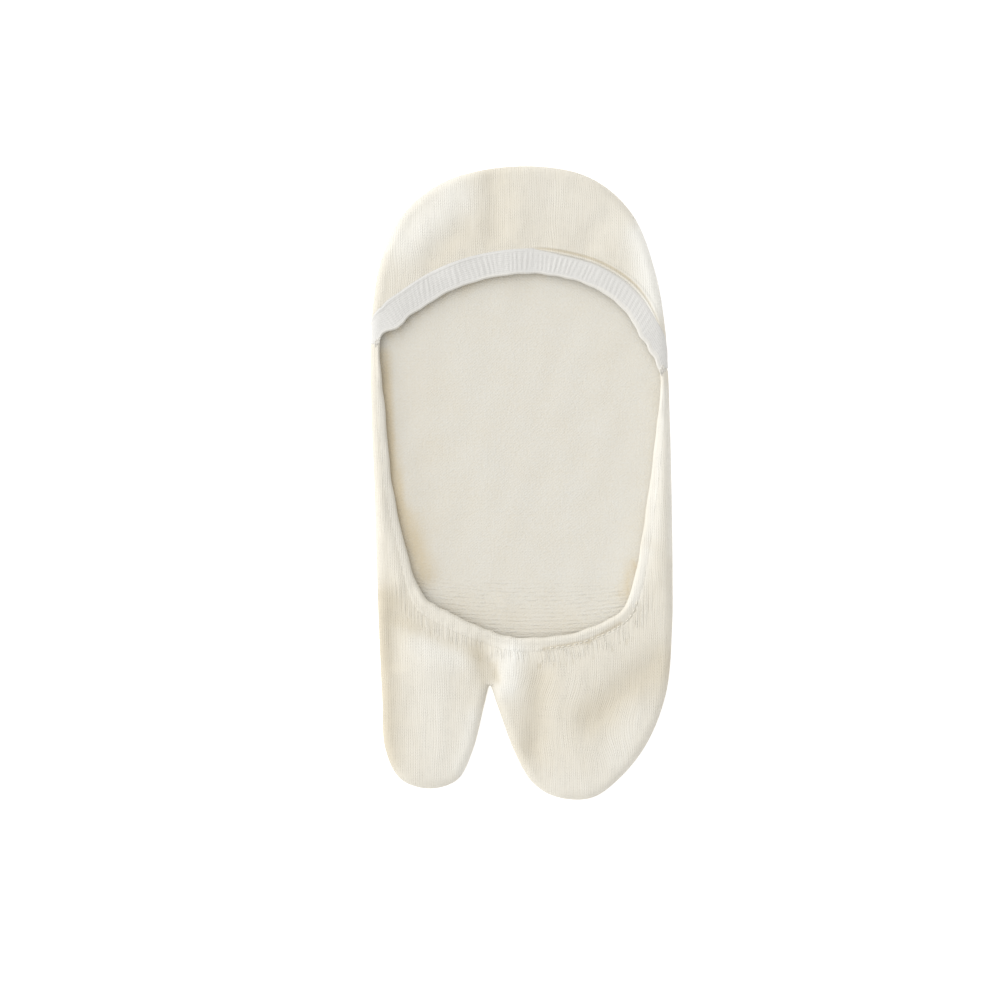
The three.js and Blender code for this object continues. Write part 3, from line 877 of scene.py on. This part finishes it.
inside, opened, lengths = body_skin(INNER_TOP_RINGS, KNIT_WALL)
inside[:, -1, 2] = insole_height(inside[:, -1, :2])
inside, opened, lengths = (ring_closed(g) for g in (inside, opened, lengths))
upper, under = upper_and_under(INNER_TOP_RINGS)
tone = tones(inside[..., :2], SOLE_PAINTED_SHADE)
for part, field in ((upper, (0, 1, 0.5)), (under, (2, 0))):
    maps = body_maps(opened[:, part], lengths[:, part], tone[:, part], field)
    body.add(inside[:, part], maps, material=1, flip=True)
insole, plan = sole_grid(inside[:, -1, :2], insole_height)
maps = body_maps(plan, far_from_edge, tones(plan, SOLE_PAINTED_SHADE), (2, 0))
body.add(insole, maps, material=1, flip=True)
seam_wall = np.stack([inside[:, 0], outside[:, 0]], axis=1)
seam_plan = np.repeat(opened[:, :1], 2, axis=1)
seam_lengths = np.repeat(lengths[:, :1], 2, axis=1)
body.add(seam_wall, body_maps(seam_plan, seam_lengths, tones(seam_plan, TOP_PAINTED_LIGHT_AND_SHADE), (0, 1, 0.5)))
knit_outside = knit_face("ivory_knit_face", 0.44)
knit_inside = knit_back("ivory_knit_back", 0.75)
body_piece = body.build([knit_outside, knit_inside])
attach(body_piece, "root")
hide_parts("sock_body")

# ---------------------------------------------------------------------------------------
# Turned hem: the body's own knit turned under once round the sides and the toe side of the
# opening, so it is two layers thick with a soft rolled edge.

HEM_WALL = 1.9
HEM_LINES = 620
HEM_STEPS = 24
STRIP_GAP = 0.15
LANE = 3.5


def strip_between(first_place, last_place, count):
    """Section lines along a strip of the opening's edge, its ends drawn back by a gap."""
    first, last = station(first_place), station(last_place)
    if last < first:
        last += 1.0
    back = STRIP_GAP / GIRTH
    return SectionLines(np.linspace(first + back, last - back, count))


def way_round(strip):
    """How far round the opening each line of a strip is from its first, in millimetres."""
    return ((strip.stations - strip.stations[0]) * GIRTH)[:, None]


def rounded_strip(strip, wide, wall, upper, lower, wander, steps, nose_steps=6):
    """A strip of cloth along the edge of the opening, as wide as given: a round nose on the
    free edge, which wanders into the opening by the amounts given, and an upper and a lower
    side that their own functions raise."""
    nose = wall / 2
    angle = np.linspace(0, math.pi / 2, nose_steps + 1)[None]
    share = (np.arange(1, steps + 1) / steps)[None]
    nose_lengths = np.repeat(nose * (1 - np.cos(angle)), len(wide), 0)
    lengths = np.concatenate([nose_lengths, blend(nose, wide, share)], axis=1)
    half = np.concatenate([nose * np.sin(angle), np.full((1, steps), nose)], axis=1)
    surface = strip.along(strip.points, lengths)
    into_opening = unit(strip.points[:, 0, :2] - strip.points[:, 8, :2])
    fading = (wander[:, None] * (1 - smooth_step(lengths, 0.6, 5.0)))[..., None]
    surface[..., :2] += fading * into_opening[:, None]
    normals = grid_normals(surface, closed=False)
    full = half / nose
    top = surface + normals * (half - nose + upper(lengths, wide) * full)[..., None]
    bottom = surface + normals * (lower(lengths, wide) * full - half - nose)[..., None]
    bottom[:, 0] = top[:, 0]
    return top, bottom, lengths


def add_strip(cloth, strip, top, bottom, lengths, rows=8):
    """The strip's upper side, lower side, outer edge and two ends. For the bake the strip is
    cut into rows that lie one above the other."""
    plan = strip.along(strip.opened, lengths)
    around = np.broadcast_to(way_round(strip), lengths.shape)
    width = lengths.max() + 1.0
    row_length = np.ptp(around) / rows
    side = max(row_length, rows * 2 * width) + 4.0
    row_of = np.minimum(np.floor(around[:, 0] / row_length + 1e-6), rows - 1)

    def maps(chosen, grid, signed, row):
        local = np.stack([around[chosen], signed[chosen]], axis=-1)
        place = local + np.array([1.0 - row * row_length, width * (1 + 2 * row)])
        return {
            "knit": plan[chosen],
            "edge": local,
            "tone": tones(grid[chosen][..., :2], TOP_PAINTED_LIGHT_AND_SHADE),
            "OFBake": place / side,
        }

    for grid, signed, flip in ((top, lengths, False), (bottom, -lengths, True)):
        for row in range(rows):
            chosen = np.flatnonzero(row_of == row)
            if row + 1 < rows:
                chosen = np.append(chosen, chosen[-1] + 1)
            cloth.add(grid[chosen], maps(chosen, grid, signed, row), flip=flip)
    whole = maps(np.arange(len(lengths)), top, lengths, 0)
    whole["OFBake"] = np.zeros_like(whole["OFBake"])
    rim = {key: pairs[:, -2:] for key, pairs in whole.items()}
    cloth.add(np.stack([bottom[:, -1], top[:, -1]], axis=1), rim, flip=True)
    for end, flip in ((0, False), (-1, True)):
        cap = {key: np.stack([pairs[end]] * 2) for key, pairs in whole.items()}
        cloth.add(np.stack([bottom[end], top[end]]), cap, flip=flip)


def seat(lengths, trim, wide, wall):
    """How far a strip's underside rises, first to lie on the sunken edge of the body and then
    again past the end of that edge."""
    on_body = (wall - LAP_SINK + 0.04) * smooth_step(lengths, trim - 2.0, trim - 0.9)
    return on_body + (LAP_SINK - 0.06) * lap_end(lengths, wide)


def hem_stretch(rise_from, rise_to, fall_from, fall_to):
    """A stretch of the hem: 1 inside it and smoothly 0 outside."""
    rise = smooth_step(hem_strip.stations, station(rise_from), station(rise_to))
    fall = smooth_step(hem_strip.stations, station(fall_from), station(fall_to))
    return (rise * (1 - fall))[:, None]


hem_strip = strip_between("band end, inner side", "band end, outer side", HEM_LINES)
hem_around = way_round(hem_strip)
toe_share = hem_stretch(
    "waist, inner side", "hem corner, inner side", "hem corner, outer side", "waist, outer side"
)
lane_share = hem_stretch("toes tip, inner", "toes corner", "little toe", "ball, outer side")


def hem_upper(lengths, wide):
    """The hem's rolled edge, a shallow lane behind it on the little-toe side, and an edge
    that thins out on the body. It is fullest across the toes."""
    roll = blend(0.10, 0.34, toe_share) * np.exp(-(((lengths - 1.3) / 1.0) ** 2))
    lane = -0.34 * lane_share * np.exp(-(((lengths - LANE) / 0.55) ** 2))
    uneven = 0.05 * ripple(np.stack([lengths * 0.4, hem_around + 0 * lengths], axis=-1), 4.0, 31)
    level = blend(0.06, 0.24, toe_share) + uneven
    return blend(level, 0.03, smooth_step(lengths, wide - 1.0, wide)) + roll + lane


def hem_lower(lengths, wide):
    return seat(lengths, wide, wide, HEM_WALL)


hem_wander = 0.16 * ripple(hem_around * np.array([[1.0, 0.0]]), 11.0, 33)
hem = Cloth("turned_hem")
hem_top, hem_bottom, hem_lengths = rounded_strip(
    hem_strip, hem_strip.trim[:, None], HEM_WALL, hem_upper, hem_lower, hem_wander, HEM_STEPS
)
add_strip(hem, hem_strip, hem_top, hem_bottom, hem_lengths)
hem_piece = hem.build([knit_face("hem_knit_face", 0.52)])
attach(hem_piece, "root")
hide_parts("opening_hem")

# ---------------------------------------------------------------------------------------
# Heel band: white elastic with ribs across it, uneven where it is gathered on to the heel
# cloth, with a narrow pale lip along its free edge. The heel cloth laps over its outer edge
# from the middle to the little-toe side, and under it on the other side. Its ends go round
# the side folds.

BAND_WALL = 1.3
BAND_LINES = 1100
BAND_STEPS = 34
RIB = 1.5
RIB_RISE = 0.165
BAND_SHADE = (0.670, 0.657, 0.626)
BAND_WHITE = (0.800, 0.788, 0.758)
BAND_EDGE = (0.840, 0.815, 0.755)
ELASTIC_ROUGHNESS = 0.8
ELASTIC = {"Specular IOR Level": 0.35, "Sheen Weight": 0.20, "Sheen Roughness": 0.4}

band_strip = strip_between("band end, outer side", "band end, inner side", BAND_LINES)
band_around = way_round(band_strip)
band_lap = along_laps(band_strip.stations, 1)
under_lip = np.maximum(band_lap, 0) ** 0.5
band_trim = band_strip.trim[:, None]


def ribs(around, lengths, wide):
    """Ribs across the band: a cosine of the distance round the opening whose pitch, lean and
    height drift at random, strongest in the middle and gone at both ends."""
    spot = np.stack([np.broadcast_to(around, lengths.shape), lengths], axis=-1)
    lean = ripple(np.stack([around, around * 0], axis=-1), 26.0, 21)
    drift = 0.22 * ripple(spot * np.array([1.0, 0.25]), 7.0, 22)
    phase = (spot[..., 0] + lean * (lengths - 4.0) * 0.22) / RIB + drift
    rib = 0.5 + 0.5 * np.cos(2 * math.pi * phase)
    height = 0.58 + 0.42 * ripple(spot * np.array([1.0, 0.3]), 5.0, 23)
    middle = np.sin(math.pi * np.clip(around / around.max(), 0, 1)) ** 0.6
    inner = smooth_step(lengths, 0.7, 1.8)
    far = wide - LIP * under_lip
    outer = 1 - smooth_step(lengths, far - 1.6, far - 0.5)
    return rib * np.clip(height, 0.1, 1.0) * middle * inner * outer


def band_upper(lengths, wide):
    """The pale lip, the ribs, a small piping where the band lies over the heel cloth, and
    the outer edge that goes over or under that cloth."""
    lip = 0.10 * np.exp(-(((lengths - 0.6) / 0.45) ** 2))
    piping = 0.16 * np.maximum(-band_lap, 0) * np.exp(-(((lengths - wide + 0.7) / 0.4) ** 2))
    ribbed = RIB_RISE * ribs(band_around, lengths, wide)
    lip_edge = band_trim - LIP * under_lip
    sunk = (LAP_RISE + 0.06) * under_lip * smooth_step(lengths, lip_edge - 0.8, lip_edge)
    down = smooth_step(lengths, wide - 0.5, wide)
    return lip + (piping + ribbed + 0.04) * (1 - down) + 0.03 * down - sunk


def band_lower(lengths, wide):
    """The underside is seated on the cloth only where the band lies over it."""
    return np.maximum(-band_lap, 0) * seat(lengths, band_trim, wide, BAND_WALL)


def elastic(name):
    """White elastic: fine lengthwise threads between the ribs, and a pale cream lip of knit
    along the free edge."""
    shader = Shader(name)
    around, from_edge, pair = shader.coordinates("edge")
    thread = shader.noise(shader.scaled(pair, (1.6, 0.55, 0.0)), 1.2, 3.0)
    speck = shader.noise(pair, 1.7, 2.0)
    patch = shader.noise(pair, 0.16, 2.0)
    weave = (from_edge / 0.62 + thread * 0.5).wave()
    lip = from_edge.math("ABSOLUTE") - around.step(40.0, 24.0) * 0.7
    lip = (lip + (patch - 0.5) * 1.2).step(0.9, 0.5)
    shade = (thread - 0.5) * 0.5 + (speck - 0.5) * 0.4 + (patch - 0.5) * 0.4 + weave * 0.04 + 0.5
    white = shader.mixed(shade.clamped(), (*BAND_SHADE, 1.0), (*BAND_WHITE, 1.0))
    colour = shader.mixed(lip * 0.7, white, (*BAND_EDGE, 1.0))
    height = thread * 0.7 + speck * 0.5 + weave * 0.12
    return shader.finish(colour, height, FACE_RELIEF, ELASTIC_ROUGHNESS, ELASTIC)


# Bulges of the free edge into the opening, laid out as the folds are.
BAND_BULGES = (
    ("bulge, inner side", -38.6, 49.3, -37.4, 50.2, 1.8, 0.6),
    ("notch, inner side", -34.4, 52.6, -33.6, 53.2, 1.8, -0.25),
    ("bulge, outer side 1", 37.4, 46.2, 37.8, 45.7, 1.3, 0.2),
    ("bulge, outer side 2", 40.6, 41.6, 41.0, 41.0, 1.3, 0.3),
    ("notch, outer side", 39.2, 43.8, 39.5, 43.4, 1.1, -0.1),
    ("bulge, outer side 3", 42.8, 37.0, 43.0, 36.6, 1.1, 0.3),
)
band_edge = band_strip.points[:, 0, :2]
band_wander = fold_rise(band_edge, BAND_BULGES) + 0.18 * ripple(band_edge, 8.0, 34)
band = Cloth("elastic_band")
band_wide = band_trim + band_reach(band_strip.stations)
band_top, band_bottom, band_lengths = rounded_strip(
    band_strip, band_wide, BAND_WALL, band_upper, band_lower, band_wander, BAND_STEPS
)
add_strip(band, band_strip, band_top, band_bottom, band_lengths)
band_piece = band.build([elastic("white_elastic")])
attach(band_piece, "root")
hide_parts("heel_band")

# ---------------------------------------------------------------------------------------
# Threads: a row of running stitches in the lane of the toe hem on the little-toe side, and
# a bar tack over the joint at each end of the band, of threads laid side by side.

STITCH = 1.25
STITCH_PITCH = 2.1
STITCH_RADIUS = 0.22
STITCH_RISE = 0.14
STITCH_SINK = 0.3
TACK_RADIUS = 0.24
TACK_THREADS = 5
TACK_LENGTH = 2.3
TACK_RISE = 0.12
TACK_SINK = 0.55
TACK_SHIFT = 0.15
TACK_PITCH = 1.7 * TACK_RADIUS
THREAD_SIDES = 10
THREAD_STEPS = 12
IVORY_PALE, IVORY_DEEP = (0.86, 0.83, 0.75), (0.70, 0.65, 0.54)
# The bar tacks are white thread, painted grey as the shade in their small knots.
TACK_PALE_PAINTED_SHADE, TACK_DEEP_PAINTED_SHADE = (0.80, 0.78, 0.73), (0.55, 0.52, 0.46)


def add_thread(cloth, path, radius, cell, cells):
    """A thread along a path of points, its ends closed by round tips."""
    run = unit(np.gradient(path, axis=0))
    beside = unit(np.cross(run, [0.0, 0.0, 1.0]))
    above = np.cross(beside, run)[:, None]
    turn = np.linspace(0, 2 * math.pi, THREAD_SIDES + 1)
    place = np.linspace(-1, 1, len(path))
    thick = radius * np.sqrt(np.maximum(1 - np.abs(place) ** 6, 0))
    ring = beside[:, None] * np.cos(turn)[:, None] + above * np.sin(turn)[:, None]
    grid = path[:, None] + ring * thick[:, None, None]
    share = np.stack(np.meshgrid((place + 1) / 2, turn / (2 * math.pi), indexing="ij"), axis=-1)
    side = math.ceil(math.sqrt(cells))
    corner = np.array([cell % side, cell // side])
    pair = share * np.array([STITCH, 2 * math.pi * radius])
    maps = {
        "knit": grid[..., :2],
        "edge": pair + cell * 3.0,
        "tone": np.zeros_like(pair),
        "OFBake": (corner + 0.08 + 0.84 * share) / side,
    }
    cloth.add(grid, maps)


def laid_thread(middle, along, up, length, sink):
    """The path of a short thread on the cloth: its middle stands up and its ends go down
    into it."""
    share = np.linspace(-1, 1, THREAD_STEPS)[:, None]
    return middle + along * share * length / 2 - up * sink * share**4


def twisted_thread(name, pale, deep):
    """Sewing thread: two plies twisted together."""
    shader = Shader(name)
    along, around, pair = shader.coordinates("edge")
    ply = (along / 0.55 + around / 0.8).wave()
    speck = shader.noise(pair, 3.0, 2.0)
    shade = ply * 0.25 + (speck - 0.5) * 0.4 + 0.6
    colour = shader.mixed(shade.clamped(), (*deep, 1.0), (*pale, 1.0))
    return shader.finish(colour, ply * 0.5 + speck * 0.3, 0.00006, 0.75, COTTON)


lane_lines = np.flatnonzero(lane_share[:, 0] > 0.35)
lane_run = hem_around[lane_lines, 0]
stitch_starts = np.arange(lane_run[0], lane_run[-1], STITCH_PITCH)
hem_lane = np.abs(hem_lengths[lane_lines[0]] - LANE).argmin()
lane_points = hem_top[:, hem_lane]
lane_normals = grid_normals(hem_top, closed=False)[:, hem_lane]
stitches = Cloth("hem_stitches")
for number, start in enumerate(stitch_starts):
    at = np.abs(hem_around[:, 0] - start).argmin()
    along = lane_points[at + 2] - lane_points[at - 2]
    middle = lane_points[at] + lane_normals[at] * STITCH_RISE
    path = laid_thread(middle, unit(along), lane_normals[at], STITCH, STITCH_SINK)
    add_thread(stitches, path, STITCH_RADIUS, number, len(stitch_starts))
stitch_piece = stitches.build([twisted_thread("ivory_thread", IVORY_PALE, IVORY_DEEP)])
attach(stitch_piece, "root")

# Each tack sits on one end line of the band, its first thread a little out from the edge.
band_normals = grid_normals(band_top, closed=False)
for name, line, line_behind, first in (
    ("bar_tack_inner", -1, -4, 0.5),
    ("bar_tack_outer", 0, 3, 0.4),
):
    tack = Cloth(name)
    for thread in range(TACK_THREADS):
        step = np.abs(band_lengths[line] - (first + thread * TACK_PITCH)).argmin()
        end, up = band_top[line, step], band_normals[line, step]
        along = unit(end - band_top[line_behind, step])
        middle = end + up * TACK_RISE + along * TACK_SHIFT * (-1) ** thread
        path = laid_thread(middle, along, up, TACK_LENGTH, TACK_SINK)
        add_thread(tack, path, TACK_RADIUS, thread, TACK_THREADS)
    tack_piece = tack.build([twisted_thread(name + "_thread", TACK_PALE_PAINTED_SHADE, TACK_DEEP_PAINTED_SHADE)])
    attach(tack_piece, "root")
